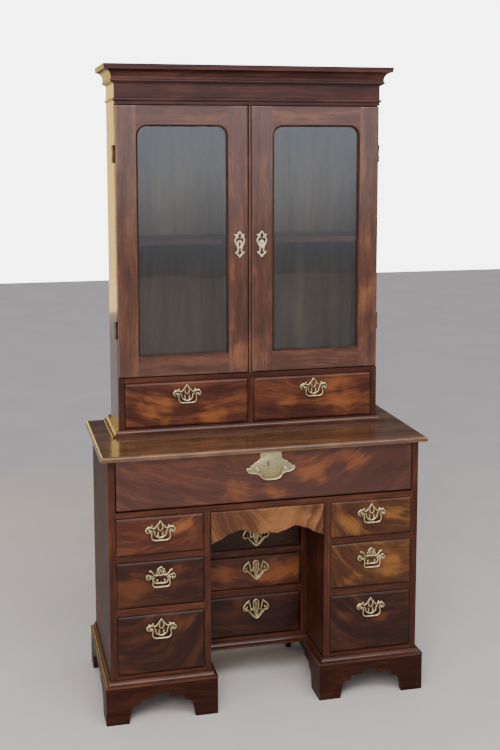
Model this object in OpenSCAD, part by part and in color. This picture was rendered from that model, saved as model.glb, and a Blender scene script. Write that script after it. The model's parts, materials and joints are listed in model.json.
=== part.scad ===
// Kneehole secretaire bookcase: a glazed bookcase on a kneehole desk whose wide top
// drawer has a fall front that opens into a writing surface.
// X runs across the width, the front faces -Y, Z is up. The origin is on the floor,
// under the middle of the whole piece.

/* [Desk carcass] */
// Width across the outer sides of the desk carcass
desk_w = 1060; // [1040:5:1080]
// Depth of the desk carcass from its front edges to its back
desk_d = 480; // [470:2:490]
// Height of the upper face of the desk top
desk_h = 902; // [902:0.5:904]
// How far the desk top stands out at the front and the sides
top_overhang = 24; // [22:1:28]
// Thickness of the desk top
top_t = 16; // [14:1:16]
// Thickness of the outer sides of the desk
side_t = 22.5; // [20:0.5:22.5]
// Thickness of the uprights beside the kneehole
partition_t = 21.5; // [20:0.5:21.5]
// Half of the width of the kneehole
knee_half = 196; // [195:0.5:197]
// How far the recessed drawers stand behind the desk front
recess_set = 199; // [190:1:210]
// Thickness of the back boards
back_t = 10; // [8:1:12]

/* [Plinth] */
// Height of the bracket feet
foot_h = 124; // [120:1:124]
// Width of each bracket foot on the floor
foot_w = 75; // [65:1:85]
// Height of the open arch between two feet
arch_h = 94; // [80:1:100]
// Height of the moulded frame on the feet
plinth_h = 20; // [16:1:20]
// How far the moulded frame stands out from the carcass
plinth_out = 20; // [16:1:22]

/* [Bookcase] */
// Width across the sides of the bookcase
case_w = 924; // [920:1:928]
// Depth of the bookcase from the door faces to its back
case_d = 240; // [236:1:244]
// Height of the whole piece
total_h = 2150; // [2150:1:2160]
// Thickness of the bookcase sides
case_t = 18; // [16:0.5:18]
// Height of the underside of the doors
door_z0 = 1101; // [1101:0.5:1102]
// Height of the top edge of the doors
door_z1 = 2018; // [2010:1:2018]
// Width of the outer stiles of the doors
door_stile = 69; // [60:1:75]
// Distance from the middle of the case to the edge of each pane opening
pane_inner = 77; // [74:1:80]
// Height of the lower edge of the panes
pane_z0 = 1171; // [1165:1:1180]
// Height of the upper edge of the panes
pane_z1 = 1954; // [1945:1:1958]
// Radius of the upper corners of the pane openings
pane_r = 38; // [30:1:42]
// Height of the upper face of the shelf
shelf_z = 1566; // [1300:1:1700]
// How far the cornice stands out
cornice_out = 37; // [34:1:40]

/* [Drawers] */
// How far the drawer faces stand out in front of the carcass
lip = 5; // [4:0.5:6]
// Thickness of the drawer fronts
front_t = 20; // [18:1:22]
// Thickness of the drawer sides and backs
drawer_side = 9; // [8:1:12]
// Thickness of the drawer bottoms
drawer_bottom = 7; // [6:1:8]

/* [Brass] */
// Distance from the middle of a drawer pull to each of its posts
post_half = 36.5; // [35:0.5:38]
// Radius of the posts
post_r = 3.5; // [3.5:0.25:4.5]
// Radius of the pivots on which the bails swing
pivot_r = 1.75; // [1.5:0.25:2]
// Radius of the rod that the bails are made of
rod_r = 2.25; // [2:0.25:2.5]
// How far a bail hangs below its pivots
bail_drop = 32; // [28:1:36]

/* [Hidden] */
$fn = 48;
run_gap = 0.05;         // radial clearance of every pin in its bore
joint_gap = 1.5;        // gap between a drawer front and the carcass

// planes of the desk
back_y = (desk_d + top_overhang) / 2;
front_y = back_y - desk_d;
recess_y = front_y + recess_set;
inner_back = back_y - back_t;
desk_half = desk_w / 2;
opening_out = desk_half - side_t;
opening_in = knee_half + partition_t;
carcass_z0 = foot_h + plinth_h;
carcass_z1 = desk_h - top_t;
bottom_t = 14;
recess_post = 24.5;
recess_open = knee_half - recess_post;

// heights of the drawer fronts: [bottom, top]
desk_rows = [[566, 690], [388, 541], [160, 360]];
recess_rows = [[478, 580], [335, 451], [160, 306]];
fall_z0 = 713;
fall_z1 = 884;
mid_rail_z0 = 692;
mid_rail_z1 = 711;
shelf_gap = 2;          // gap above and below each drawer front

// planes of the bookcase
case_half = case_w / 2;
case_y = back_y - case_d;
door_t = 20;
case_edge_y = case_y + door_t;
case_in = case_half - case_t;
door_half = case_half - 1;
case_front_z = 2088;    // underside of the cornice
frieze_z0 = 2020;
upper_row = [925, 1080];
upper_in = 11.5;
upper_out = case_half - 22;
strip_half = 8.5;
hinge_len = 60;
hinge_inset = 162;
hinge_x = case_half + 4.5;
knuckle_r = 4;
leaf_t = 1.6;

// pulls
plate_t = 2.5;
pivot_out = 10;         // from the drawer face to the pivot line
post_out = 14.5;        // from the drawer face to the end of a post
arm_gap = 0.4;          // between a post and the arm of the bail beside it
lock_x = 8;
fall_post_half = 48;
fall_bail_drop = 35;
desk_pull_x = (opening_in + opening_out) / 2;
recess_pull_x = 6;
upper_pull_x = (upper_in + upper_out) / 2 + 1;
desk_pull_z = [646, 489, 314];
recess_pull_z = [525, 403, 259];
upper_pull_z = 1039;
fall_pull_z = 826;

// fall front
fall_t = 25;
fall_r = fall_t / 2;
fall_half = opening_out - 2.5;
pivot_y = front_y - lip + fall_r;
pivot_z = fall_z0 + fall_r;
desk_board_t = 18;
write_z = fall_z0 + fall_t;
well_half = opening_out - 4.5;
well_side = 12;
well_y0 = front_y - lip + fall_t + 1;
well_y1 = inner_back - 6;
nest_half = well_half - well_side - 7;
nest_y0 = 30;
nest_z1 = 872;
nest_t = 6;
nest_mid = 168;
nest_row = 50;

// travel of a drawer box behind its front
pedestal_back = inner_back - 12;

// ---- shared shapes ----

// box between two corners
module block(x, y, z) {
    translate([x[0], y[0], z[0]]) cube([x[1] - x[0], y[1] - y[0], z[1] - z[0]]);
}

// the same box on both sides of the middle plane
module pair(x, y, z) {
    block(x, y, z);
    block([-x[1], -x[0]], y, z);
}

// extrudes a (y, z) outline along X between two places
module along_x(x) {
    translate([x[0], 0, 0]) rotate([90, 0, 90]) linear_extrude(x[1] - x[0]) children();
}

// extrudes an (x, z) outline along Y between two places
module along_y(y) {
    translate([0, y[1], 0]) rotate([90, 0, 0]) linear_extrude(y[1] - y[0]) children();
}

// rectangle whose edge at y = 0 has rounded corners
module eased_edge(w, t, r) {
    translate([0, r]) square([w, t - r]);
    translate([r, 0]) square([w - 2 * r, r]);
    translate([r, r]) circle(r);
    translate([w - r, r]) circle(r);
}

// board with a quarter round worked on the four edges of its face
module moulded_panel(x, z, y0, t, r) {
    intersection() {
        translate([x[0], y0, z[0]]) linear_extrude(z[1] - z[0]) eased_edge(x[1] - x[0], t, r);
        translate([0, y0, z[1]]) rotate([0, 90, 0])
            translate([0, 0, x[0]]) linear_extrude(x[1] - x[0]) eased_edge(z[1] - z[0], t, r);
    }
}

// moulding that runs along the front and returns along both sides; the outline gives the
// distance that it stands out against height, and is filled far inwards
module three_sided(x_half, y_front, out) {
    intersection() {
        along_x([-x_half - out, x_half + out]) translate([y_front, 0]) mirror([1, 0]) children();
        along_y([y_front - out, back_y]) intersection() {
            translate([x_half, 0]) children();
            mirror([1, 0]) translate([x_half, 0]) children();
        }
    }
}

// band of a moulding outline
module band(out, z0, z1) {
    translate([-2 * desk_w, z0]) square([2 * desk_w + out, z1 - z0]);
}

// ---- desk carcass ----

module lower_sides() {
    color("#5a2f20") pair([opening_out, desk_half], [front_y, back_y], [carcass_z0, carcass_z1]);
}

module kneehole_partitions() {
    color("#5a2f20") {
        pair([knee_half, opening_in], [front_y, inner_back], [carcass_z0, mid_rail_z0]);
        pair([recess_open, knee_half - 0.1], [recess_y, recess_y + recess_post],
            [carcass_z0, mid_rail_z0]);
    }
}

module dustboards() {
    bottom_z = [carcass_z0, carcass_z0 + bottom_t];
    recess_top = recess_rows[0][1] + shelf_gap;
    soffit_z = 626;
    soffit_t = 12;
    color("#5a2f20") {
        block([-opening_out, opening_out], [front_y, inner_back], [mid_rail_z0, mid_rail_z1]);
        pair([opening_in, opening_out], [front_y, inner_back], bottom_z);
        block([-recess_open, recess_open], [recess_y, inner_back], bottom_z);
        for (i = [0, 1]) {
            pair([opening_in, opening_out], [front_y, inner_back],
                [desk_rows[i + 1][1] + shelf_gap, desk_rows[i][0] - shelf_gap]);
            block([-recess_open, recess_open], [recess_y, inner_back],
                [recess_rows[i + 1][1] + shelf_gap, recess_rows[i][0] - shelf_gap]);
        }
        block([-recess_open, recess_open], [recess_y, inner_back], [recess_top, recess_top + 16]);
        block([-knee_half, knee_half], [front_y + front_t, recess_y - 0.1],
            [soffit_z, soffit_z + soffit_t]);
        block([-recess_open, recess_open], [recess_y, inner_back],
            [soffit_z, soffit_z + soffit_t]);
    }
}

module back_boards() {
    color("#4a2a1c") {
        block([-opening_out, opening_out], [inner_back, back_y], [carcass_z0, carcass_z1]);
        block([-case_in, case_in], [inner_back, back_y], [desk_h, case_front_z]);
    }
}

// flat top with a thumb-moulded edge at the front and the sides
module desk_top() {
    thumb_r = 9;
    fillet = top_t - thumb_r;
    z0 = desk_h - top_t;
    color("#8a5a34") three_sided(desk_half, front_y, top_overhang) {
        band(top_overhang, z0, z0 + fillet);
        band(top_overhang - thumb_r, z0, desk_h);
        intersection() {
            translate([top_overhang - thumb_r, z0 + fillet]) circle(thumb_r);
            band(top_overhang, z0 + fillet, desk_h);
        }
    }
}

// ---- plinth ----

// outline of the plinth moulding, from the carcass face outwards
module plinth_outline() {
    fillet = 7;
    cove_r = plinth_h - fillet;
    difference() {
        band(plinth_out, foot_h, carcass_z0);
        translate([plinth_out - 2, carcass_z0]) circle(cove_r);
        translate([plinth_out - 2, foot_h + fillet]) square([3, plinth_h]);
    }
}

module base_frame() {
    pedestal_mid = (desk_half + knee_half) / 2;
    pedestal_half = (desk_half - knee_half) / 2;
    color("#4a2418") {
        for (s = [-1, 1]) translate([s * pedestal_mid, 0, 0])
            three_sided(pedestal_half, front_y, plinth_out) plinth_outline();
        intersection() {
            three_sided(desk_half - 10, recess_y, plinth_out) plinth_outline();
            block([-knee_half - 10, knee_half + 10], [recess_y - plinth_out, back_y],
                [foot_h, carcass_z0]);
        }
    }
}

// points of an arc that turns from one angle to another
function arc(c, r, a0, a1, n) =
    [for (i = [0:n]) c + r * [cos(a0 + (a1 - a0) * i / n), sin(a0 + (a1 - a0) * i / n)]];

// outline of a stepped bracket, from the foot up to the top of the arch
function bracket(s) = concat(
    [[0, 0]],
    arc([32, 36] * s, 26 * s, 180, 90, 8),
    arc([46, 70] * s, 8 * s, 180, 90, 5),
    [[84, 80] * s],
    arc([94, 88] * s, 6 * s, 180, 90, 4));

// skirt board with an arch between two bracket feet
module skirt(len) {
    left = [for (p = bracket(arch_h / 94)) p + [foot_w, 0]];
    count = len(left);
    difference() {
        square([len, foot_h]);
        polygon(concat([[foot_w, -1]], left,
            [for (i = [count - 1:-1:0]) [len - left[i][0], left[i][1]]],
            [[len - foot_w, -1]]));
    }
}

module bracket_feet() {
    skirt_t = 18;
    out = plinth_out - 1;
    x0 = knee_half - out;
    x1 = desk_half + out;
    y0 = front_y - out;
    y1 = y0 + skirt_t;
    color("#42200f") for (s = [0, 1]) mirror([s, 0, 0]) {
        along_y([y0, y1]) translate([x0, 0]) skirt(x1 - x0);
        along_x([x1 - skirt_t, x1]) translate([y1, 0]) skirt(back_y - y1);
        along_x([x0, x0 + skirt_t]) translate([y1, 0]) skirt(back_y - y1);
    }
}

// ---- bookcase ----

module waist_moulding() {
    out = 25;
    fillet = 6;
    cove_out = out - 2;
    cove_r = 14;
    h = 19;
    color("#5a3020") difference() {
        three_sided(case_half, case_y, out) difference() {
            union() {
                band(out, desk_h, desk_h + fillet);
                band(cove_out, desk_h, desk_h + h);
            }
            translate([cove_out, desk_h + fillet + cove_r]) circle(cove_r);
        }
        block([-case_half, case_half], [case_y, back_y + 1], [desk_h - 1, desk_h + h + 1]);
    }
}

// where the two hinges of a door sit, as the height of the lower end of each
function hinge_places() = [door_z0 + hinge_inset - hinge_len / 2,
    door_z1 - hinge_inset - hinge_len / 2];

module bookcase_sides() {
    color("#5e3423") difference() {
        pair([case_in, case_half], [case_edge_y, back_y], [desk_h, case_front_z]);
        for (z = hinge_places())
            pair([case_in - 1, case_half + 1], [case_edge_y - 1, case_edge_y + leaf_t],
                [z, z + hinge_len]);
    }
}

module face_frame() {
    rail_z0 = upper_row[0] - joint_gap;
    rail_z1 = upper_row[1] + joint_gap;
    top_z = door_z0 - shelf_gap;
    y = [case_y, case_edge_y];
    color("#5e3423") {
        pair([upper_out + joint_gap, case_half], y, [desk_h, top_z]);
        block([-upper_in + joint_gap, upper_in - joint_gap], y, [desk_h, top_z]);
        block([-upper_out - joint_gap, upper_out + joint_gap], y, [desk_h, rail_z0]);
        block([-upper_out - joint_gap, upper_out + joint_gap], y, [rail_z1, top_z]);
    }
}

module bookcase_boards() {
    floor_z0 = upper_row[1] + joint_gap;
    floor_z1 = door_z0 - shelf_gap;
    bottom_z1 = upper_row[0] - joint_gap - 1.5;
    y = [case_edge_y, inner_back];
    shelf_front = case_edge_y + 8;
    color("#553020") {
        block([-case_in, case_in], y, [desk_h, bottom_z1]);
        block([-8, 8], y, [bottom_z1 + 0.1, floor_z0 - 0.1]);
        block([-case_in, case_in], y, [floor_z0, floor_z1]);
        block([-case_in, case_in], [shelf_front, inner_back], [shelf_z - 18, shelf_z]);
        block([-case_in, case_in], y, [case_front_z - 16, case_front_z]);
    }
}

module cornice() {
    bead_z = 2036;
    bead_r = 5;
    h = total_h - case_front_z;
    cove_r = 25;
    cove_out = cornice_out - 1;
    cove_z = case_front_z + 20;
    top_fillet = 8;
    color("#2c1410") {
        block([-case_half, case_half], [case_y, case_edge_y], [frieze_z0, case_front_z]);
        difference() {
            three_sided(case_half, case_y, bead_r) {
                band(0, bead_z - bead_r, bead_z + bead_r);
                translate([0, bead_z]) circle(bead_r);
            }
            block([-case_half, case_half], [case_y, back_y + 1],
                [bead_z - 2 * bead_r, bead_z + 2 * bead_r]);
        }
        difference() {
            three_sided(case_half, case_y, cornice_out) {
                band(4, case_front_z, case_front_z + 4);
                band(9, case_front_z + 3, case_front_z + 14);
                translate([9, case_front_z + 9]) circle(5);
                difference() {
                    band(cove_out, case_front_z + 13, total_h);
                    translate([cove_out, cove_z]) circle(cove_r);
                    translate([cove_out - cove_r, case_front_z]) square([cove_r + 1, 20]);
                }
                band(cornice_out, total_h - top_fillet, total_h);
            }
            block([-case_in, case_in], [case_edge_y, back_y + 1], [case_front_z - 1, total_h + 1]);
        }
    }
}

// ---- doors ----

module pane_outline(inner, outer) {
    w = outer - inner;
    translate([inner, pane_z0]) square([w, pane_z1 - pane_z0 - pane_r]);
    translate([inner + pane_r, pane_z0]) square([w - 2 * pane_r, pane_z1 - pane_z0]);
    for (x = [inner + pane_r, outer - pane_r])
        translate([x, pane_z1 - pane_r]) circle(pane_r);
}

// door on the right-hand side; its meeting edge is at x = edge
module door_frame(edge) {
    rebate = 7;
    glass_y = case_y + 10;
    pane_outer = door_half - door_stile;
    difference() {
        moulded_panel([edge, door_half], [door_z0, door_z1], case_y, door_t - 0.4, lip);
        along_y([case_y - 1, case_edge_y]) pane_outline(pane_inner, pane_outer);
        block([pane_inner - rebate, pane_outer + rebate], [glass_y, case_edge_y],
            [pane_z0 - rebate, pane_z1 + rebate]);
        for (z = hinge_places())
            block([case_in - 1, door_half + 1],
                [case_edge_y - 0.2 - leaf_t, case_edge_y + 1], [z, z + hinge_len]);
    }
}

module right_door() {
    color("#6b4436") {
        door_frame(strip_half);
        block([-strip_half + 0.5, strip_half + 5], [case_y - 3, case_y + 4], [door_z0, door_z1]);
    }
}

module left_door() {
    color("#6b4436") mirror([1, 0, 0]) door_frame(strip_half + 0.5);
}

module glass_pane() {
    edge = 6;
    pane_outer = door_half - door_stile;
    color([0.6, 0.66, 0.68, 0.4])
        block([pane_inner - edge, pane_outer + edge], [case_y + 10, case_y + 13],
            [pane_z0 - edge, pane_z1 + edge]);
}

// pierced escutcheon, pin-and-leaf halves that turn with the door
module door_brass() {
    escutcheon_x = 39;
    escutcheon_z = 1548;
    color("#c9b27a") {
        translate([escutcheon_x, 0, escutcheon_z]) along_y([case_y - 2, case_y]) difference() {
            escutcheon_outline();
            keyhole();
        }
        for (z = hinge_places()) door_leaf(z);
    }
}

module escutcheon_outline() {
    half = [[0, 45], [6, 36], [15, 33], [10, 25], [19, 12], [16, 2], [8, -14],
        [7, -26], [17, -28], [7, -35], [0, -45]];
    polygon([for (p = half) p, for (i = [len(half) - 2:-1:1]) [-half[i][0], half[i][1]]]);
}

module keyhole() {
    translate([0, 3]) circle(2.6);
    translate([-1.3, -6]) square([2.6, 9]);
}

// leaf and middle knuckle on the door, drawn for the right-hand side
module door_leaf(z) {
    third = hinge_len / 3;
    end_gap = 0.2;
    y1 = case_edge_y - 0.2;
    difference() {
        union() {
            block([case_in, case_half - 0.2], [y1 - leaf_t, y1], [z, z + hinge_len]);
            block([case_half - 1, hinge_x], [y1 - leaf_t, y1],
                [z + third + end_gap, z + 2 * third - end_gap]);
            translate([hinge_x, case_edge_y, z + third + end_gap])
                cylinder(r = knuckle_r, h = third - 2 * end_gap);
        }
        translate([hinge_x, case_edge_y, z]) cylinder(r = pivot_r + run_gap, h = hinge_len);
    }
}

// leaves and end knuckles on the case, with their pins
module case_hinges() {
    third = hinge_len / 3;
    color("#c9b27a") for (s = [0, 1], z = hinge_places()) mirror([s, 0, 0]) {
        block([case_in, case_half - 0.2], [case_edge_y, case_edge_y + leaf_t], [z, z + hinge_len]);
        for (k = [0, 2]) {
            block([case_half - 1, hinge_x], [case_edge_y, case_edge_y + leaf_t],
                [z + k * third, z + (k + 1) * third]);
            translate([hinge_x, case_edge_y, z + k * third]) cylinder(r = knuckle_r, h = third);
        }
        translate([hinge_x, case_edge_y, z]) cylinder(r = pivot_r, h = hinge_len);
    }
}

// ---- drawers ----

// open box behind a drawer front
module drawer_box(x, y, z) {
    difference() {
        block(x, y, z);
        block([x[0] + drawer_side, x[1] - drawer_side], [y[0] + drawer_side, y[1] - drawer_side],
            [z[0] + drawer_bottom, z[1] + 1]);
    }
}

// lipped front with its box; x and z are the ends of the front, face is its plane
module drawer(x, z, face, box_back) {
    color("#6a3522") {
        moulded_panel(x, z, face, front_t, lip);
        drawer_box([x[0] + 1, x[1] - 1], [face + front_t - drawer_side, box_back],
            [z[0] - 1, z[1] - 12]);
    }
}

module desk_drawer(i, s) {
    x = [opening_in + joint_gap, opening_out - joint_gap];
    side = s > 0 ? x : [-x[1], -x[0]];
    drawer(side, desk_rows[i], front_y - lip, pedestal_back);
}

module recess_drawer(i) {
    x = recess_open - joint_gap;
    drawer([-x, x], recess_rows[i], recess_y - lip, pedestal_back);
}

module upper_drawer(s) {
    x = s > 0 ? [upper_in, upper_out] : [-upper_out, -upper_in];
    drawer(x, upper_row, case_y - lip, pedestal_back);
}

// turning points of the cusped lower edge of the apron, right-hand half
function apron_turns() = [[194, 581], [178, 590], [166, 593], [134, 612], [94, 624],
    [52, 609], [30, 603], [8, 606], [0, 612]];

// the same edge with each stretch eased in and out
function apron_edge() = [
    for (i = [0:len(apron_turns()) - 2], k = [0:3])
        let (a = apron_turns()[i], b = apron_turns()[i + 1], t = k / 4)
            [a[0] + (b[0] - a[0]) * t, a[1] + (b[1] - a[1]) * (t + (0.5 - cos(180 * t) / 2)) / 2],
    apron_turns()[len(apron_turns()) - 1]];

module apron_drawer() {
    x = knee_half - 2;
    top_z = desk_rows[0][1];
    box_z0 = 639;
    half = apron_edge();
    color("#7a4526") {
        intersection() {
            moulded_panel([-x, x], [half[0][1] - lip, top_z], front_y - lip, front_t, lip);
            along_y([front_y - lip - 1, front_y + front_t]) polygon([
                for (p = half) p,
                for (i = [len(half) - 2:-1:0]) [-half[i][0], half[i][1]],
                [-x, top_z], [x, top_z]]);
        }
        drawer_box([-x + 4, x - 4], [front_y - lip + front_t - drawer_side, recess_y - 14],
            [box_z0, top_z - 6]);
    }
}

// ---- pulls ----

// right-hand half of a bat-wing plate, from the top point round to the bottom
function wing_points() = [[0, 27], [7, 21], [13, 13], [22, 11], [28, 16], [36, 13], [44, 15],
    [49, 6], [44, -7], [34, -9], [30, -13], [22, -13], [16, -21], [6, -22], [0, -24]];

module wing_outline() {
    half = wing_points();
    polygon([for (p = half) p, for (i = [len(half) - 2:-1:1]) [-half[i][0], half[i][1]]]);
}

// two posts with their pivot bores
module posts(half) {
    for (s = [-1, 1]) difference() {
        translate([s * half, 0, 0]) rotate([90, 0, 0]) cylinder(r = post_r, h = post_out);
        translate([s * half, -pivot_out, 0]) rotate([0, 90, 0])
            cylinder(r = pivot_r + run_gap, h = 3 * post_r, center = true);
    }
}

// plate and posts; the origin is on the drawer face between the pivots
module pull_plate(x, face, z) {
    color("#c9b27a") translate([x, face, z]) {
        along_y([-plate_t, 0]) wing_outline();
        posts(post_half);
    }
}

// swinging bail between the posts, with pivots that enter them from inside
module bail(x, face, z, half, drop) {
    arm = half - post_r - rod_r - arm_gap;
    bend = 9;
    color("#c9b27a") translate([x, face - pivot_out, z]) for (s = [0, 1]) mirror([s, 0, 0]) {
        translate([arm, 0, 0]) rotate([0, 90, 0])
            cylinder(r = pivot_r, h = half + post_r + 0.5 - arm);
        translate([arm, 0, -drop + bend]) cylinder(r = rod_r, h = drop - bend);
        translate([arm, 0, 0]) sphere(rod_r);
        translate([arm - bend, 0, -drop + bend]) rotate([90, 90, 0])
            rotate_extrude(angle = 90) translate([bend, 0]) circle(rod_r);
        translate([0, 0, -drop]) rotate([0, 90, 0]) cylinder(r = rod_r, h = arm - bend);
    }
}

// ---- secretaire ----

// deep drawer without a front: its fall closes it
module secretaire_box() {
    floor_z = [write_z - desk_board_t, write_z];
    top_z = carcass_z1 - 6;
    side_z0 = fall_z0 + 1;
    in = well_half - well_side;
    color("#8a6040") {
        block([-in, in], [well_y0, well_y1], floor_z);
        pair([in, well_half], [well_y0, well_y1], [side_z0, top_z]);
        block([-in, in], [well_y1 - well_side, well_y1], [write_z, top_z]);
    }
}

// front that is hinged along its lower edge, which is worked to a half round
module fall_front() {
    color("#6e3020") intersection() {
        moulded_panel([-fall_half, fall_half], [fall_z0, fall_z1], front_y - lip, fall_t, lip);
        along_x([-fall_half, fall_half]) {
            translate([pivot_y, pivot_z]) circle(fall_r);
            translate([pivot_y - fall_r, pivot_z]) square([fall_t, fall_z1 - pivot_z]);
        }
    }
}

// right-hand half of the lock plate, measured from its middle
function lock_points() = [[0, 52], [35, 52], [35, 33], [42, 22], [57, 15], [62, 7], [70, 3],
    [75, -4], [83, -6], [79, -18], [69, -24], [45, -27], [38, -31], [20, -41], [0, -43]];

// lock plate with its posts, and the quadrant stays inside the fall
module fall_brass() {
    half = lock_points();
    plate_z = fall_pull_z + 6;
    plate = 3;
    stay_r = 123;
    stay_half = 5;
    stay_x = [nest_half + 3, nest_half + 6];
    inner_y = front_y - lip + fall_t;
    color("#c9b27a") {
        translate([lock_x, front_y - lip, plate_z]) along_y([-plate, 0]) difference() {
            polygon([for (p = half) p,
                for (i = [len(half) - 2:-1:1]) [-half[i][0], half[i][1]]]);
            translate([-9, 11]) keyhole();
        }
        translate([lock_x, front_y - lip, fall_pull_z]) posts(fall_post_half);
        for (s = [0, 1]) mirror([s, 0, 0]) {
            intersection() {
                translate([stay_x[0], pivot_y, pivot_z]) rotate([90, 0, 90])
                    difference() {
                        cylinder(r = stay_r + stay_half, h = stay_x[1] - stay_x[0]);
                        translate([0, 0, -1]) cylinder(r = stay_r - stay_half, h = 6);
                    }
                block(stay_x, [inner_y, inner_y + 200], [write_z + 3, fall_z1]);
            }
            block([stay_x[0] - 16, stay_x[1]], [inner_y, inner_y + 2],
                [pivot_z + stay_r - 16, pivot_z + stay_r + 14]);
        }
    }
}

// shelf, uprights and top of the fitted interior
module pigeonholes() {
    y = [nest_y0, well_y1 - well_side];
    shelf = [write_z + nest_row + 2, write_z + nest_row + 2 + nest_t];
    pocket = (nest_half - nest_mid) / 2;
    color("#9a6b45") {
        block([-nest_half, nest_half], y, [nest_z1 - nest_t, nest_z1]);
        block([-nest_half, nest_half], y, shelf);
        pair([nest_half - nest_t, nest_half], y, [write_z, nest_z1]);
        pair([nest_mid, nest_mid + nest_t], y, [write_z, nest_z1]);
        pair([nest_mid + pocket, nest_mid + pocket + nest_t], y, [shelf[1], nest_z1]);
    }
}

module nest_drawer(s) {
    x = [nest_mid + nest_t + 1, nest_half - nest_t - 1];
    z = [write_z + 1, write_z + nest_row + 1];
    mid = (x[0] + x[1]) / 2;
    color("#a5754c") mirror([s < 0 ? 1 : 0, 0, 0]) {
        difference() {
            block(x, [nest_y0, well_y1 - well_side - 4], z);
            block([x[0] + 6, x[1] - 6], [nest_y0 + 8, well_y1 - well_side - 10],
                [z[0] + 5, z[1] + 1]);
        }
        translate([mid, nest_y0, (z[0] + z[1]) / 2]) rotate([90, 0, 0]) {
            cylinder(r = 3, h = 6);
            translate([0, 0, 9]) sphere(6);
        }
    }
}

// ---- the parts by name ----

lower_sides();
kneehole_partitions();
dustboards();
back_boards();
desk_top();
base_frame();
bracket_feet();
waist_moulding();
bookcase_sides();
face_frame();
bookcase_boards();
cornice();
case_hinges();
left_door();
right_door();
mirror([1, 0, 0]) glass_pane();  // left_glass
glass_pane();  // right_glass
mirror([1, 0, 0]) door_brass();  // left_door_brass
door_brass();  // right_door_brass
upper_drawer(-1);  // upper_left_drawer
upper_drawer(1);  // upper_right_drawer
pull_plate(-upper_pull_x, case_y - lip, upper_pull_z);  // upper_left_pull
pull_plate(upper_pull_x, case_y - lip, upper_pull_z);  // upper_right_pull
bail(-upper_pull_x, case_y - lip, upper_pull_z, post_half, bail_drop);  // upper_left_bail
bail(upper_pull_x, case_y - lip, upper_pull_z, post_half, bail_drop);  // upper_right_bail
secretaire_box();
pigeonholes();
nest_drawer(-1);  // nest_left_drawer
nest_drawer(1);  // nest_right_drawer
fall_front();
fall_brass();
bail(lock_x, front_y - lip, fall_pull_z, fall_post_half, fall_bail_drop);  // fall_bail
apron_drawer();
for (i = [0:2]) {
    desk_drawer(i, -1);
    desk_drawer(i, 1);
    recess_drawer(i);
    pull_plate(-desk_pull_x, front_y - lip, desk_pull_z[i]);
    pull_plate(desk_pull_x, front_y - lip, desk_pull_z[i]);
    pull_plate(recess_pull_x, recess_y - lip, recess_pull_z[i]);
    bail(-desk_pull_x, front_y - lip, desk_pull_z[i], post_half, bail_drop);
    bail(desk_pull_x, front_y - lip, desk_pull_z[i], post_half, bail_drop);
    bail(recess_pull_x, recess_y - lip, recess_pull_z[i], post_half, bail_drop);
}
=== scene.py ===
"""Looks of a kneehole secretaire bookcase: figured mahogany, pierced brasses, glass, camera and light.

Everything is in metres in the row frame: X across the width, the front faces -Y, Z up.
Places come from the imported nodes; lengths that belong to a detail are written in millimetres.
"""

import json
import math

import bmesh
import bpy
from mathutils import Matrix, Vector


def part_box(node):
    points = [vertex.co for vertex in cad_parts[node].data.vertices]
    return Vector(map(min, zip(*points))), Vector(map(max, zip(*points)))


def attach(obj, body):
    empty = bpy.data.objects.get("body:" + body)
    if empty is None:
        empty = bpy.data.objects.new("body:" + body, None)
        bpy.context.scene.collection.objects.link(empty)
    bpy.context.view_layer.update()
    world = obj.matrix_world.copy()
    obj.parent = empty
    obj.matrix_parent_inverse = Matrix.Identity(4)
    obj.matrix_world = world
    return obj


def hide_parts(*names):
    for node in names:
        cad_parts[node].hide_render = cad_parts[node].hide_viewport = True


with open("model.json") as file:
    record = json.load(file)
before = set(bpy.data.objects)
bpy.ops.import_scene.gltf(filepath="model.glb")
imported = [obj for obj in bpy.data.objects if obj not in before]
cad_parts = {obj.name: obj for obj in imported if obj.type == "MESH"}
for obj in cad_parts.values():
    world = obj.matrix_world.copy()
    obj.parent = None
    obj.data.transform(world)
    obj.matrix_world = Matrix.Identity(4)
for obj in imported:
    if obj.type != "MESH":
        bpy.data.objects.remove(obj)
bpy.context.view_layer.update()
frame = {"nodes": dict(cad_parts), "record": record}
NODES = frame["nodes"]
BODY_OF = {
    node: body
    for body, members in frame["record"]["behaviour"]["bodies"].items()
    for node in members
}
MM = 0.001


# ---------------------------------------------------------------- node trees


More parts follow.
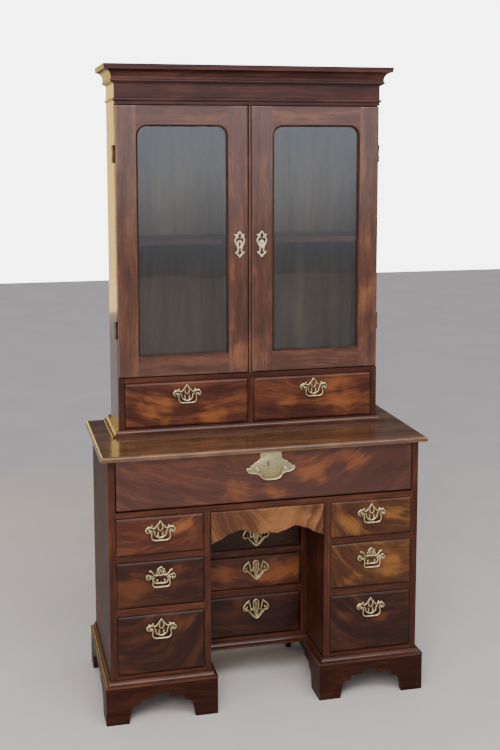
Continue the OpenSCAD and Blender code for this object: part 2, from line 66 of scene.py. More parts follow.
class Tree:
    """A material's node tree, with short calls for the nodes that the surfaces here use."""

    def __init__(self, name):
        self.material = bpy.data.materials.new(name)
        self.material.use_nodes = True
        self.nodes = self.material.node_tree.nodes
        self.links = self.material.node_tree.links
        self.shader = self.nodes["Principled BSDF"]

    def put(self, socket, value):
        if isinstance(value, bpy.types.NodeSocket):
            self.links.new(value, socket)
        elif value is not None:
            socket.default_value = value

    def node(self, kind, inputs=None, out=0, **settings):
        made = self.nodes.new("ShaderNode" + kind)
        for key, value in settings.items():
            setattr(made, key, value)
        for key, value in (inputs or {}).items():
            self.put(made.inputs[key], value)
        return made.outputs[out]

    def math(self, operation, a, b=None, c=None, clamp=False):
        return self.node("Math", {0: a, 1: b, 2: c}, operation=operation, use_clamp=clamp)

    def vector(self, operation, a, b):
        return self.node("VectorMath", {0: a, 1: b}, operation=operation)

    def noise(self, at, scale, detail=4.0, rough=0.55, distortion=0.0, colour=False):
        return self.node(
            "TexNoise",
            {"Vector": at, "Scale": scale, "Detail": detail, "Roughness": rough, "Distortion": distortion},
            out=1 if colour else 0,
        )

    def span(self, value, low, high, to_low=0.0, to_high=1.0):
        return self.node(
            "MapRange",
            {"Value": value, 1: low, 2: high, 3: to_low, 4: to_high},
            interpolation_type="SMOOTHSTEP",
        )

    def ramp(self, value, stops):
        made = self.nodes.new("ShaderNodeValToRGB")
        self.put(made.inputs[0], value)
        ramp = made.color_ramp
        while len(ramp.elements) < len(stops):
            ramp.elements.new(0.5)
        for element, (place, colour) in zip(ramp.elements, stops):
            element.position = place
            element.color = (*colour, 1.0)
        return made.outputs[0]

    def mix(self, share, a, b, blend="MIX"):
        made = self.nodes.new("ShaderNodeMix")
        made.data_type = "RGBA"
        made.blend_type = blend
        for socket, value in ((made.inputs[0], share), (made.inputs[6], a), (made.inputs[7], b)):
            if isinstance(value, tuple):
                value = (*value, 1.0)
            self.put(socket, value)
        return made.outputs[2]

    def scaled(self, at, scale):
        return self.vector("MULTIPLY", at, scale)

    def object_point(self):
        return self.node("TexCoord", out=3)

    def finish(self, **sockets):
        for key, value in sockets.items():
            self.put(self.shader.inputs[key.replace("_", " ")], value)
        return self.material


# how far features are drawn out along the grain, and how much of that the mottle gives back
GRAIN_SQUEEZE = 0.06
MOTTLE_STRETCH = {"X": (4, 1, 1), "Y": (1, 4, 1), "Z": (1, 1, 4), "round": (4, 1, 1)}


def along(tree, point, grain):
    """The point with the direction of the grain squeezed, so that features run along it."""
    if grain == "round":
        parts = tree.nodes.new("ShaderNodeSeparateXYZ")
        tree.put(parts.inputs[0], point)
        run = tree.math("MULTIPLY", tree.math("ADD", parts.outputs[0], parts.outputs[1]), GRAIN_SQUEEZE)
        made = tree.nodes.new("ShaderNodeCombineXYZ")
        tree.put(made.inputs[0], run)
        tree.put(made.inputs[2], parts.outputs[2])
        return made.outputs[0]
    scales = {"X": (GRAIN_SQUEEZE, 1, 1), "Y": (1, GRAIN_SQUEEZE, 1), "Z": (1, 1, GRAIN_SQUEEZE)}
    return tree.scaled(point, scales[grain])


def crotch(tree, point, lean, spread):
    """Grain that leans over and opens like a feather, squeezed along its run."""
    turned = tree.node("VectorRotate", {"Vector": point, "Angle": math.radians(lean)},
                       rotation_type="Y_AXIS")
    parts = tree.nodes.new("ShaderNodeSeparateXYZ")
    tree.put(parts.inputs[0], turned)
    fan = tree.math("MULTIPLY", tree.math("POWER", tree.math("ABSOLUTE", parts.outputs[0]), 1.5), spread)
    made = tree.nodes.new("ShaderNodeCombineXYZ")
    tree.put(made.inputs[0], tree.math("MULTIPLY", parts.outputs[0], 0.1))
    tree.put(made.inputs[1], tree.math("MULTIPLY", parts.outputs[1], 0.3))
    tree.put(made.inputs[2], tree.math("SUBTRACT", parts.outputs[2], fan))
    return made.outputs[0]


def worn_edges(tree, reach=2.5):
    """1 along convex edges, fading to 0 within the reach in millimetres."""
    inside = tree.node("AmbientOcclusion", {"Distance": reach * MM}, out=1, samples=4, inside=True)
    return tree.math("SUBTRACT", 1.0, inside, clamp=True)


def crease_shade(tree, reach=9):
    """1 in corners and creases, 0 in the open: a mask for painting shade into colours."""
    open_sky = tree.node("AmbientOcclusion", {"Distance": reach * MM}, out=1, samples=4)
    return tree.math("SUBTRACT", 1.0, open_sky, clamp=True)


def wood(name, grain, dark, middle, light, lean=None, spread=2.0, centre=(0, 0, 0), swirl=0.03,
         gold_sheen_spots=(), golden=0.3, gloss=0.35, coat=0.12, edge=0.3, pores=1.0, shine=0.18):
    """Polished wood. lean gives crotch figure at that angle round the centre, swirl is how far the
    grain wanders in metres, gold_sheen_spots are (x, z, radius) of golden places, golden is their strength.
    The golden places are partly the figure's own colour and partly painted chatoyant sheen."""
    tree = Tree(name)
    local = tree.vector("SUBTRACT", tree.object_point(), centre)
    shift = 0.37 * len(bpy.data.materials)
    point = tree.vector("ADD", local, (shift, shift * 0.37, shift * 0.71))
    wander = tree.vector("SUBTRACT", tree.noise(point, 3.0, 2.0, 0.5, colour=True), (0.5, 0.5, 0.5))
    ripple = tree.vector("SUBTRACT", tree.noise(point, 14.0, 2.0, 0.5, colour=True), (0.5, 0.5, 0.5))
    warp = tree.vector("ADD", tree.scaled(wander, (swirl * 2,) * 3),
                       tree.scaled(ripple, (swirl * 0.45,) * 3))
    if lean is None:
        fibre_at = along(tree, tree.vector("ADD", point, warp), grain)
        broad_at = tree.scaled(fibre_at, MOTTLE_STRETCH[grain])
    else:
        fibre_at = crotch(tree, tree.vector("ADD", local, warp), lean, spread)
        fibre_at = tree.vector("ADD", fibre_at, (shift, shift, shift))
        broad_at = tree.scaled(fibre_at, (3, 1, 1))
    bands = tree.noise(fibre_at, 24.0, 3.0, 0.5)
    streaks = tree.noise(fibre_at, 110.0, 3.0, 0.6)
    hairs = tree.noise(fibre_at, 420.0, 2.0, 0.6)
    mottle = tree.noise(broad_at, 34.0, 2.0, 0.5, 0.3)
    tone = tree.math("MULTIPLY_ADD", bands, 0.40, tree.math("MULTIPLY", streaks, 0.26))
    tone = tree.math("MULTIPLY_ADD", hairs, 0.12, tone)
    tone = tree.math("MULTIPLY_ADD", mottle, 0.22, tone)
    patches = tree.noise(tree.vector("ADD", point, warp), 5.5, 3.0, 0.55, 0.5)
    # golden places: partly the figure's own colour, partly painted chatoyant sheen, lifted towards a
    # brighter gold
    gold_and_sheen = tree.span(patches, 0.50, 0.72, 0.0, golden)
    for x, z, radius in gold_sheen_spots:
        away = tree.vector("MULTIPLY", tree.vector("SUBTRACT", local, (x, 0, z)),
                           (1 / radius, 0, 1.4 / radius))
        near = tree.node("VectorMath", {0: tree.vector("ADD", away, tree.scaled(ripple, (1.6,) * 3))},
                         out=1, operation="LENGTH")
        gold_and_sheen = tree.math("ADD", gold_and_sheen, tree.span(near, 1.1, 0.1, 0.0, 1.0), clamp=True)
    tone = tree.math("MULTIPLY_ADD", gold_and_sheen, 0.07, tone)
    colour = tree.ramp(tone, [(0.31, dark), (0.50, middle), (0.70, light)])
    bright = tuple(min(1.0, c * k) for c, k in zip(light, (1.2, 1.15, 1.0)))
    lift = tree.math("MULTIPLY", gold_and_sheen, tree.span(tone, 0.44, 0.62))
    colour = tree.mix(tree.math("MULTIPLY", lift, 0.7), colour, bright)
    pore = tree.span(tree.noise(fibre_at, 640.0, 2.0, 0.5), 0.60, 0.72)
    colour = tree.mix(tree.math("MULTIPLY", pore, 0.4 * pores), colour, tuple(c * 0.4 for c in dark))
    # painted shade: the colour darkens in corners, creases and crevices
    creases = crease_shade(tree)
    colour = tree.mix(tree.math("MULTIPLY", creases, 0.6), colour, tuple(c * 0.3 for c in dark))
    if edge:
        rub = tree.math("MULTIPLY", worn_edges(tree), tree.span(tree.noise(point, 40.0, 3.0), 0.35, 0.6))
        colour = tree.mix(tree.math("MULTIPLY", rub, edge), colour, light)
    rough = tree.math("MULTIPLY_ADD", tree.noise(point, 24.0, 4.0, 0.6), 0.18, gloss)
    rough = tree.math("MULTIPLY_ADD", pore, 0.12, rough)
    height = tree.math("MULTIPLY_ADD", streaks, 0.25, tree.math("MULTIPLY", pore, -0.7 * pores))
    fine = tree.node("Bump", {"Strength": 0.35, "Distance": 0.12 * MM, "Height": height})
    wave = tree.noise(point, 9.0, 2.0, 0.5)
    bump = tree.node("Bump", {"Strength": 0.5, "Distance": 1.6 * MM, "Height": wave, "Normal": fine})
    coat_bump = tree.node("Bump", {"Strength": 0.5, "Distance": 1.6 * MM, "Height": wave})
    return tree.finish(
        Base_Color=colour, Roughness=rough, Normal=bump, Coat_Weight=coat,
        Coat_Roughness=0.12, Coat_Normal=coat_bump, IOR=1.48, Specular_IOR_Level=shine,
    )


def brass(name, bright, deep, rough=0.24):
    """Old lacquered brass: rubbed bright on what stands out, olive and tarnished in cloudy patches, and
    darkened in the creases by painted shade.
    """
    tree = Tree(name)
    point = tree.object_point()
    cloud = tree.noise(point, 90.0, 4.0, 0.6)
    speck = tree.noise(point, 900.0, 3.0, 0.6)
    # olive in cloudy patches, and dark in the creases: partly tarnished brass, partly painted shade
    tarnish_and_shade = tree.math("ADD", tree.span(cloud, 0.42, 0.72, 0.0, 0.5),
                        tree.math("MULTIPLY", crease_shade(tree, 6), 1.9))
    tarnish_and_shade = tree.math("MULTIPLY", tarnish_and_shade, 1.0, clamp=True)
    colour = tree.mix(tarnish_and_shade, bright, deep)
    rubbed = tuple(min(1.0, c * 1.15) for c in bright)
    colour = tree.mix(tree.math("MULTIPLY", worn_edges(tree, 1.0), 0.5), colour, rubbed)
    roughness = tree.math("MULTIPLY_ADD", cloud, 0.2, rough - 0.05)
    roughness = tree.math("MULTIPLY_ADD", speck, 0.1, roughness)
    cast = tree.node("Bump", {"Strength": 0.5, "Distance": 0.6 * MM,
                              "Height": tree.noise(point, 260.0, 2.0, 0.5)})
    bump = tree.node("Bump", {"Strength": 0.25, "Distance": 0.15 * MM, "Height": speck, "Normal": cast})
    return tree.finish(Base_Color=colour, Metallic=1.0, Roughness=roughness, Normal=bump)


# share of the mirror in the glass: this much seen square on, and this much more at a glancing angle
GLASS_SQUARE, GLASS_GLANCING, GLASS_FALLOFF = 0.075, 0.95, 5.0


def old_glass():
    """Slightly grey sheet glass with the gentle waves of a drawn pane."""
    tree = Tree("old_glass")
    point = tree.object_point()
    wave = tree.noise(tree.scaled(point, (1.0, 1.0, 0.4)), 6.0, 0.0, 0.5)
    bump = tree.node("Bump", {"Strength": 0.3, "Distance": 3.0 * MM, "Height": wave})
    mirror = tree.node("BsdfGlossy", {"Color": (0.9, 0.93, 0.95, 1), "Roughness": 0.02, "Normal": bump})
    clear = tree.node("BsdfTransparent", {"Color": (0.86, 0.9, 0.9, 1)})
    facing = tree.node("LayerWeight", {"Blend": 0.5, "Normal": bump}, out=1)
    share = tree.math("MULTIPLY_ADD", tree.math("POWER", facing, GLASS_FALLOFF), GLASS_GLANCING,
                      GLASS_SQUARE)
    both = tree.node("MixShader", {0: share, 1: clear, 2: mirror})
    output = next(n for n in tree.nodes if n.type == "OUTPUT_MATERIAL")
    tree.nodes.remove(tree.shader)
    tree.links.new(both, output.inputs[0])
    return tree.material


def pale_floor():
    tree = Tree("pale_floor")
    point = tree.object_point()
    pile = tree.noise(point, 700.0, 3.0, 0.6)
    cloud = tree.noise(point, 2.0, 3.0, 0.6)
    colour = tree.ramp(tree.math("MULTIPLY_ADD", pile, 0.3, tree.math("MULTIPLY", cloud, 0.7)),
                       [(0.3, (0.60, 0.56, 0.53)), (0.7, (0.67, 0.63, 0.60))])
    return tree.finish(Base_Color=colour, Roughness=0.9)


RED_DARK, RED, RED_LIGHT = (0.014, 0.004, 0.0025), (0.050, 0.0135, 0.0065), (0.13, 0.041, 0.017)
DOOR_DARK, DOOR_MID, DOOR_LIGHT = (0.020, 0.007, 0.005), (0.072, 0.025, 0.014), (0.17, 0.066, 0.030)
FLAME_DARK, FLAME, FLAME_LIGHT = (0.014, 0.004, 0.003), (0.068, 0.019, 0.010), (0.20, 0.067, 0.024)
BLACK_DARK, BLACK, BLACK_LIGHT = (0.007, 0.0025, 0.002), (0.030, 0.009, 0.006), (0.085, 0.026, 0.015)
OAK_DARK, OAK_MID, OAK_LIGHT = (0.16, 0.095, 0.045), (0.34, 0.22, 0.115), (0.48, 0.34, 0.19)
PINE_DARK, PINE_MID, PINE_LIGHT = (0.045, 0.024, 0.014), (0.095, 0.055, 0.032), (0.16, 0.10, 0.06)
LINING = {"gloss": 0.6, "coat": 0.0, "edge": 0.2, "swirl": 0.02}

WOOD = {
    "stile": wood("mahogany_stile", "Z", RED_DARK, RED, RED_LIGHT, swirl=0.015),
    "rail": wood("mahogany_rail", "X", RED_DARK, RED, RED_LIGHT, swirl=0.015),
    "door": wood("mahogany_door", "Z", DOOR_DARK, DOOR_MID, DOOR_LIGHT, swirl=0.03, golden=0.4, gloss=0.3,
                 coat=1.0, gold_sheen_spots=((-0.03, 1.17, 0.14), (0.42, 1.35, 0.16))),
    "door_rail": wood("mahogany_door_rail", "X", DOOR_DARK, DOOR_MID, DOOR_LIGHT, swirl=0.03, golden=0.3,
                      gloss=0.3, coat=1.0),
    "moulding": wood("mahogany_moulding", "round", RED_DARK, RED, RED_LIGHT, swirl=0.01, gloss=0.22,
                     coat=0.5, edge=0.7),
    "side": wood("mahogany_side", "Z", RED_DARK, RED, RED_LIGHT, swirl=0.03, gloss=0.4, coat=0.0, shine=0.2),
    "upper_side": wood("mahogany_upper_side", "Z", DOOR_DARK, DOOR_MID, DOOR_LIGHT, swirl=0.03, gloss=0.3,
                       coat=0.6, shine=0.5),
    "dark": wood("mahogany_dark", "round", BLACK_DARK, BLACK, BLACK_LIGHT, swirl=0.015, gloss=0.26,
                 edge=0.5),
    "sash": wood("mahogany_sash", "Z", BLACK_DARK, BLACK, BLACK_LIGHT, swirl=0.01, gloss=0.26, edge=0.4),
    "top": wood("mahogany_top", "X", (0.022, 0.009, 0.004), (0.095, 0.042, 0.017), (0.22, 0.11, 0.042),
                swirl=0.04, golden=0.3, gloss=0.16, coat=0.8, edge=0.9),
    "foot": wood("mahogany_foot", "round", BLACK_DARK, (0.026, 0.0075, 0.004), (0.075, 0.022, 0.010),
                 swirl=0.03, gloss=0.35, coat=0.0, shine=0.1, edge=0.6),
    "oak": wood("oak_lining", "Y", OAK_DARK, OAK_MID, OAK_LIGHT, **LINING),
    "oak_across": wood("oak_lining_across", "X", OAK_DARK, OAK_MID, OAK_LIGHT, **LINING),
    "pine": wood("pine_back", "Z", PINE_DARK, PINE_MID, PINE_LIGHT, **LINING),
}
BRASS = brass("old_brass", (0.66, 0.55, 0.31), (0.035, 0.027, 0.010), 0.20)
PLATE_BRASS = brass("lock_plate_brass", (0.43, 0.38, 0.20), (0.24, 0.21, 0.10), 0.34)
# a paler copy of the same brass, on the lock's rim and posts and on the escutcheons: painted highlight
PALE_HIGHLIGHT_BRASS = brass("pale_brass_painted_highlight", (0.90, 0.78, 0.50), (0.10, 0.08, 0.035), 0.26)
HINGE_BRASS = brass("hinge_brass", (0.20, 0.14, 0.07), (0.06, 0.04, 0.02), 0.34)
GLASS = old_glass()


# ---------------------------------------------------------------- mesh helpers


def piece(name, mesh, material, body, replaces=(), smooth=35):
    """An object in the row frame that rides on a body."""
    made = bpy.data.objects.new(name, mesh)
    bpy.context.scene.collection.objects.link(made)
    if not mesh.materials:
        mesh.materials.append(material)
    if smooth:
        mesh.polygons.foreach_set("use_smooth", [True] * len(mesh.polygons))
        mesh.set_sharp_from_angle(angle=math.radians(smooth))
    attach(made, body)
    if replaces:
        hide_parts(*replaces)
    return made


def ease(made, width=0.8, segments=2):
    """Rounds the sharp edges of a piece a little, as a hand-finished edge is."""
    bevel = made.modifiers.new("eased_edges", "BEVEL")
    bevel.width = width * MM
    bevel.segments = segments
    bevel.limit_method = "ANGLE"
    bevel.angle_limit = math.radians(40)
    bevel.harden_normals = True
    return made


def mesh_of(name, points, faces):
    mesh = bpy.data.meshes.new(name)
    mesh.from_pydata([tuple(p) for p in points], [], faces)
    shape = bmesh.new()
    shape.from_mesh(mesh)
    bmesh.ops.recalc_face_normals(shape, faces=shape.faces)
    shape.to_mesh(mesh)
    shape.free()
    return mesh


def joined(name, meshes):
    """One mesh made of several."""
    shape = bmesh.new()
    for mesh in meshes:
        shape.from_mesh(mesh)
        bpy.data.meshes.remove(mesh)
    made = bpy.data.meshes.new(name)
    shape.to_mesh(made)
    shape.free()
    return made


PLACE_ALONG = {
    "X": lambda a, b, t: (t, a, b),
    "Y": lambda a, b, t: (a, t, b),
    "Z": lambda a, b, t: (a, b, t),
}


def slab(outline, low, high, axis="Y"):
    """A plate between two places on an axis. The outline's points are (y, z) for the X axis,
    (x, z) for Y and (x, y) for Z."""
    place = PLACE_ALONG[axis]
    count = len(outline)
    points = [place(a, b, t) for t in (low, high) for a, b in outline]
    sides = [(i, (i + 1) % count, count + (i + 1) % count, count + i) for i in range(count)]
    return mesh_of("slab", points, [tuple(range(count))[::-1], tuple(range(count, 2 * count))] + sides)


def board(x, y, z):
    return slab([(x[0], z[0]), (x[1], z[0]), (x[1], z[1]), (x[0], z[1])], y[0], y[1])


def loft(rings):
    """A closed skin over rings that have the same number of points, with a cap at each end."""
    count = len(rings[0])
    points = [p for ring in rings for p in ring]
    faces = [
        (r * count + i, r * count + (i + 1) % count, (r + 1) * count + (i + 1) % count, (r + 1) * count + i)
        for r in range(len(rings) - 1) for i in range(count)
    ]
    faces += [tuple(range(count)), tuple(range(len(points) - count, len(points)))]
    return mesh_of("loft", points, faces)


def moulded_board(x, z, face, back, width=5, depth=5, sides=(1, 1, 1, 1), outer=90, inner=0):
    """A board whose front edges are worked to an arc with mitred corners. sides says which edges:
    left, right, bottom, top. outer and inner are how far the arc's two ends face outwards, in degrees."""
    turns = 7
    first, last = math.radians(outer), math.radians(inner)
    steps = [(0.0, back - face)]
    for k in range(turns + 1):
        a = first + (last - first) * k / turns
        in_from_edge = width * MM * (math.sin(first) - math.sin(a)) / (math.sin(first) - math.sin(last))
        down = depth * MM * (math.cos(last) - math.cos(a)) / (math.cos(last) - math.cos(first))
        steps.append((in_from_edge, down))
    rings = []
    for d, y in steps:
        left, right = x[0] + d * sides[0], x[1] - d * sides[1]
        bottom, top = z[0] + d * sides[2], z[1] - d * sides[3]
        loop = ((left, bottom), (right, bottom), (right, top), (left, top))
        rings.append([(a, face + y, b) for a, b in loop])
    return loft(rings)


def sweep(path, profile, closed=True):
    """A moulding along a path in the XZ plane, with mitred corners.
    The profile's points are (distance to the left of the path, y)."""
    count = len(path)
    rings = []
    for i, here in enumerate(path):
        normals = []
        for a, b in ((path[i - 1], here), (here, path[(i + 1) % count])):
            if closed or (a, b) != (path[-1], path[0]):
                run = Vector(b) - Vector(a)
                normals.append(Vector((-run.y, run.x)).normalized())
        n = sum(normals, Vector((0, 0))).normalized()
        n /= max(0.3, n.dot(normals[0]))
        rings.append([(here[0] + n.x * a, y, here[1] + n.y * a) for a, y in profile])
    return loop_loft(rings) if closed else loft(rings)


def loop_loft(rings):
    """A closed skin whose last ring joins the first."""
    count, total = len(rings[0]), len(rings)
    points = [p for ring in rings for p in ring]
    faces = [
        (r * count + i, r * count + (i + 1) % count,
         (r + 1) % total * count + (i + 1) % count, (r + 1) % total * count + i)
        for r in range(total) for i in range(count)
    ]
    return mesh_of("loop", points, faces)


def curve_points(turns, steps=6):
    """A smooth curve through the turning points (Catmull-Rom)."""
    last = len(turns) - 1
    made = []
    for i in range(last):
        a, b, c, d = (Vector(turns[min(max(i + k, 0), last)]) for k in (-1, 0, 1, 2))
        for s in range(steps):
            t = s / steps
            made.append(0.5 * (2 * b + (c - a) * t + (2 * a - 5 * b + 4 * c - d) * t * t
                               + (3 * b - a - 3 * c + d) * t ** 3))
    made.append(Vector(turns[-1]))
    return made


def rod(points, radii, sides=10, flat=1.0, closed=False):
    """A round rod along points (x, y, z) that share one y; flat squeezes its section along Y."""
    count = len(points)
    rings = []
    for i, p in enumerate(points):
        p = Vector(p)
        before = Vector(points[i - 1 if closed else max(i - 1, 0)])
        after = Vector(points[(i + 1) % count if closed else min(i + 1, count - 1)])
        run = (after - before).normalized()
        side = run.cross(Vector((0, 1, 0))).normalized()
        up = side.cross(run).normalized()
        r = radii[i]
        angles = [2 * math.pi * k / sides for k in range(sides)]
        rings.append([p + side * r * math.cos(a) + up * r * flat * math.sin(a) for a in angles])
    return loop_loft(rings) if closed else loft(rings)


def turned(profile, centre, axis="Y", sides=20):
    """A lathe-turned piece. The profile's points are (radius, place along the axis)."""
    rings = []
    for r, t in profile:
        ring = []
        for k in range(sides):
            a = 2 * math.pi * k / sides
            u, v = max(r, 1e-5) * math.cos(a), max(r, 1e-5) * math.sin(a)
            offset = {"Y": (u, t, v), "X": (t, u, v), "Z": (u, v, t)}[axis]
            ring.append(Vector(centre) + Vector(offset))
        rings.append(ring)
    return loft(rings)


# ---------------------------------------------------------------- carcass

SURFACES = {
    "lower_sides": "side", "kneehole_partitions": "stile", "bookcase_sides": "upper_side",
    "dustboards": "rail", "desk_top": "top", "base_frame": "moulding", "bracket_feet": "foot",
    "waist_moulding": "moulding", "bookcase_boards": "rail", "back_boards": "pine",
    "secretaire_box": "oak", "pigeonholes": "oak_across",
    "nest_left_drawer": "oak_across", "nest_right_drawer": "oak_across",
}


def dress(node, material, width=0.7):
    """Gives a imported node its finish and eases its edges."""
    made = NODES[node]
    made.data.materials.clear()
    made.data.materials.append(material)
    if width:
        ease(made, width)


def middle_of(node):
    low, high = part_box(node)
    return tuple((low + high) / 2)


for node, surface in SURFACES.items():
    dress(node, WOOD[surface])
dress("cornice", wood("mahogany_cornice", "round", BLACK_DARK, (0.036, 0.011, 0.008), (0.10, 0.032, 0.02),
                      swirl=0.02, gloss=0.24, edge=0.5, coat=0.15))


def face_frame():
    """Front frame round the two upper drawers, made of stiles and rails."""
    low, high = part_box("face_frame")
    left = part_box("upper_left_drawer")
    gap = 1.5 * MM
    outer = high.x - (-left[0].x + gap)
    inner = -left[1].x - gap
    y = (low.y, high.y)
    z = (left[0].z + 1 * MM - gap, left[1].z + gap)
    stiles = [board(x, y, (low.z, high.z))
              for x in ((low.x, low.x + outer), (high.x, high.x - outer))]
    stiles.append(board((-inner, inner), y, z))
    rails = [board((low.x + outer, high.x - outer), y, span) for span in ((low.z, z[0]), (z[1], high.z))]
    ease(piece("face_frame_stiles", joined("stiles", stiles), WOOD["stile"], "case",
               ("face_frame",)), 0.7)
    ease(piece("face_frame_rails", joined("rails", rails), WOOD["rail"], "case"), 0.7)


face_frame()


# ---------------------------------------------------------------- drawers

SIDE = 9 * MM
BOTTOM = 7 * MM
FRONT = 20 * MM
PIN, FLARE, PITCH = 9 * MM, 3 * MM, 34 * MM


def tail_levels(bottom, height):
    tails = max(2, round(height / PITCH))
    return [bottom + height * k / tails for k in range(tails + 1)]


def drawer(node, look):
    """A thumb-moulded veneered front with lapped dovetails, oak sides, a back and a bottom."""
    low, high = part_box(node)
    body = BODY_OF[node]
    # the box starts 1 mm under the front, stands 1 mm inside it and is 12 mm lower at the top
    front_z = (low.z + 1 * MM, high.z)
    box_x = (low.x + 1 * MM, high.x - 1 * MM)
    box_z = (low.z, high.z - 12 * MM)
    lap = low.y + 8 * MM
    inner = low.y + FRONT
    levels = tail_levels(box_z[0], box_z[1] - box_z[0])
    parts = [
        moulded_board((low.x, high.x), front_z, low.y, lap, 8, 4.6, outer=58, inner=14),
        board((box_x[0] + SIDE, box_x[1] - SIDE), (lap, inner),
              (front_z[0] + 0.5 * MM, front_z[1] - 0.5 * MM)),
    ]
    for x in (box_x[0], box_x[1] - SIDE):
        parts.append(board((x, x + SIDE), (lap, inner), (levels[-1], front_z[1] - 0.5 * MM)))
        for z in levels:
            under, over = max(box_z[0], z - PIN / 2), min(box_z[1], z + PIN / 2)
            lap_under, lap_over = max(box_z[0], under + FLARE), min(box_z[1], over - FLARE)
            tail = [(lap, lap_under), (inner, under), (inner, over), (lap, lap_over)]
            parts.append(slab(tail, x, x + SIDE, "X"))
    piece(node + "_front", joined("front", parts), look, body, (node,), 12)
    outline = [(high.y, box_z[0]), (high.y, box_z[1])]
    for under, over in reversed(list(zip(levels, levels[1:]))):
        outline += [(inner, over - PIN / 2), (lap, over - PIN / 2 + FLARE), (lap, under + PIN / 2 - FLARE),
                    (inner, under + PIN / 2)]
    sides = [slab(outline, x, x + SIDE, "X") for x in (box_x[0], box_x[1] - SIDE)]
    ease(piece(node + "_sides", joined("sides", sides), WOOD["oak"], body), 0.4)
    across = (box_x[0] + SIDE, box_x[1] - SIDE)
    cross = [
        board(across, (high.y - SIDE, high.y), (box_z[0] + 9 * MM, box_z[1] - 4 * MM)),
        board(across, (inner, high.y), (box_z[0] + 1 * MM, box_z[0] + BOTTOM)),
    ]
    ease(piece(node + "_back_and_bottom", joined("cross", cross), WOOD["oak_across"], body), 0.4)


# the dark tone on the lower drawers and on the top and bottom recess drawers is partly the veneer's own tone
# and partly painted shade, darker towards the floor and under the apron
TONES = {
    "red": (FLAME_DARK, FLAME, FLAME_LIGHT),
    "dark": (BLACK_DARK, (0.028, 0.008, 0.0045), (0.088, 0.028, 0.010)),
    "gold": (FLAME_DARK, (0.064, 0.022, 0.008), (0.19, 0.080, 0.024)),
}
# lean of the figure, how much it opens, tone, and golden places (figure with painted sheen) as x, z and
# radius from the middle
FIGURES = {
    "upper_left_drawer": (-5, 0.4, "red", ((-0.10, -0.02, 0.10), (0.08, -0.04, 0.07))),
    "upper_right_drawer": (-3, 0.3, "red", ((0.09, 0.0, 0.10), (-0.10, -0.03, 0.06))),
    "left_drawer_1": (16, 0.8, "red", ((0.08, 0.03, 0.05),)),
    "left_drawer_2": (2, 0.6, "dark", ((-0.09, -0.01, 0.08), (0.06, 0.05, 0.04))),
    "left_drawer_3": (26, 1.2, "dark", ((0.07, 0.06, 0.06),)),
    "right_drawer_1": (-36, 0.9, "gold", ((-0.08, -0.03, 0.08), (0.07, 0.01, 0.05))),
    "right_drawer_2": (-26, 1.2, "gold", ((-0.06, -0.05, 0.06), (0.07, -0.01, 0.07))),
    "right_drawer_3": (-20, 0.8, "dark", ((-0.09, 0.04, 0.05), (0.03, 0.02, 0.04))),
    "recess_drawer_1": (3, 0.6, "dark", ()),
    "recess_drawer_2": (-2, 0.5, "red", ((0.08, 0.0, 0.10), (-0.11, 0.0, 0.07))),
    "recess_drawer_3": (0, 0.6, "dark", ((-0.07, 0.04, 0.05),)),
}
for node, (lean, spread, tone, gold_sheen_spots) in FIGURES.items():
    drawer(node, wood("mahogany_" + node, "X", *TONES[tone], lean=lean, spread=spread,
                      centre=middle_of(node), swirl=0.05, gold_sheen_spots=gold_sheen_spots, golden=0.15, gloss=0.28))

dress("apron_drawer", wood("mahogany_apron", "X", (0.030, 0.010, 0.005), (0.092, 0.034, 0.014),
                           (0.22, 0.098, 0.038), lean=8, spread=5.0, centre=(0.03, -0.23, 0.64), swirl=0.07,
                           gold_sheen_spots=((0.0, 0.0, 0.14), (0.08, 0.0, 0.08)), golden=0.5, gloss=0.3), 0.9)
dress("fall_front", wood("mahogany_fall", "X", (0.022, 0.007, 0.005), (0.060, 0.016, 0.009),
                         (0.16, 0.050, 0.015), lean=2, spread=0.5, centre=middle_of("fall_front"),
                         swirl=0.055,
                         gold_sheen_spots=((-0.10, -0.05, 0.09), (0.03, -0.06, 0.06), (0.15, 0.01, 0.10),
                                (0.30, 0.04, 0.07)),
                         golden=0.1, gloss=0.26, coat=0.7), 0.6)


# ---------------------------------------------------------------- brass

# millimetres: a post from the middle of its pull, the pivot under the bail's top, the pin's length
POST_HALF = 36.5
PIVOT_UNDER_TOP = 2.25
PIN_REACH = 9
# how much thicker the straps are cast than the widths in the patterns
STRAP_FULLNESS, ESCUTCHEON_FULLNESS = 1.15, 1.75


def both(points):
    return [points, [(-x, z) for x, z in points]]


def strap(turns, radius, taper=0.72, steps=5):
    """A cast strap of a pierced plate, half round, thinner at its ends. Turns are (x, z) in millimetres."""
    line = curve_points(turns, steps)
    count = len(line)
    radii = [
        radius * MM * (taper + (1 - taper) * math.sin(math.pi * (i + 0.5) / count) ** 0.6)
        for i in range(count)
    ]
    return rod([(p.x * MM, -radius * 0.45 * MM, p.y * MM) for p in line], radii, 8, 0.75)


def knob(x, z, r, stand=0.95):
    """A cast bead that stands on the plate."""
    turns = 6
    angles = [math.pi / 2 * k / turns for k in range(turns + 1)]
    dome = [(r * MM * math.cos(a), -r * stand * MM * math.sin(a)) for a in angles]
    return turned([(0.0, 0.0)] + dome, (x * MM, 0.0, z * MM), sides=14)


def straps(patterns, thicker=1.0):
    return [strap(line, radius * thicker) for turns, radius in patterns for line in both(turns)]


def knobs(places):
    made = []
    for x, z, r in places:
        made.append(knob(x, z, r))
        if x:
            made.append(knob(-x, z, r))
    return made


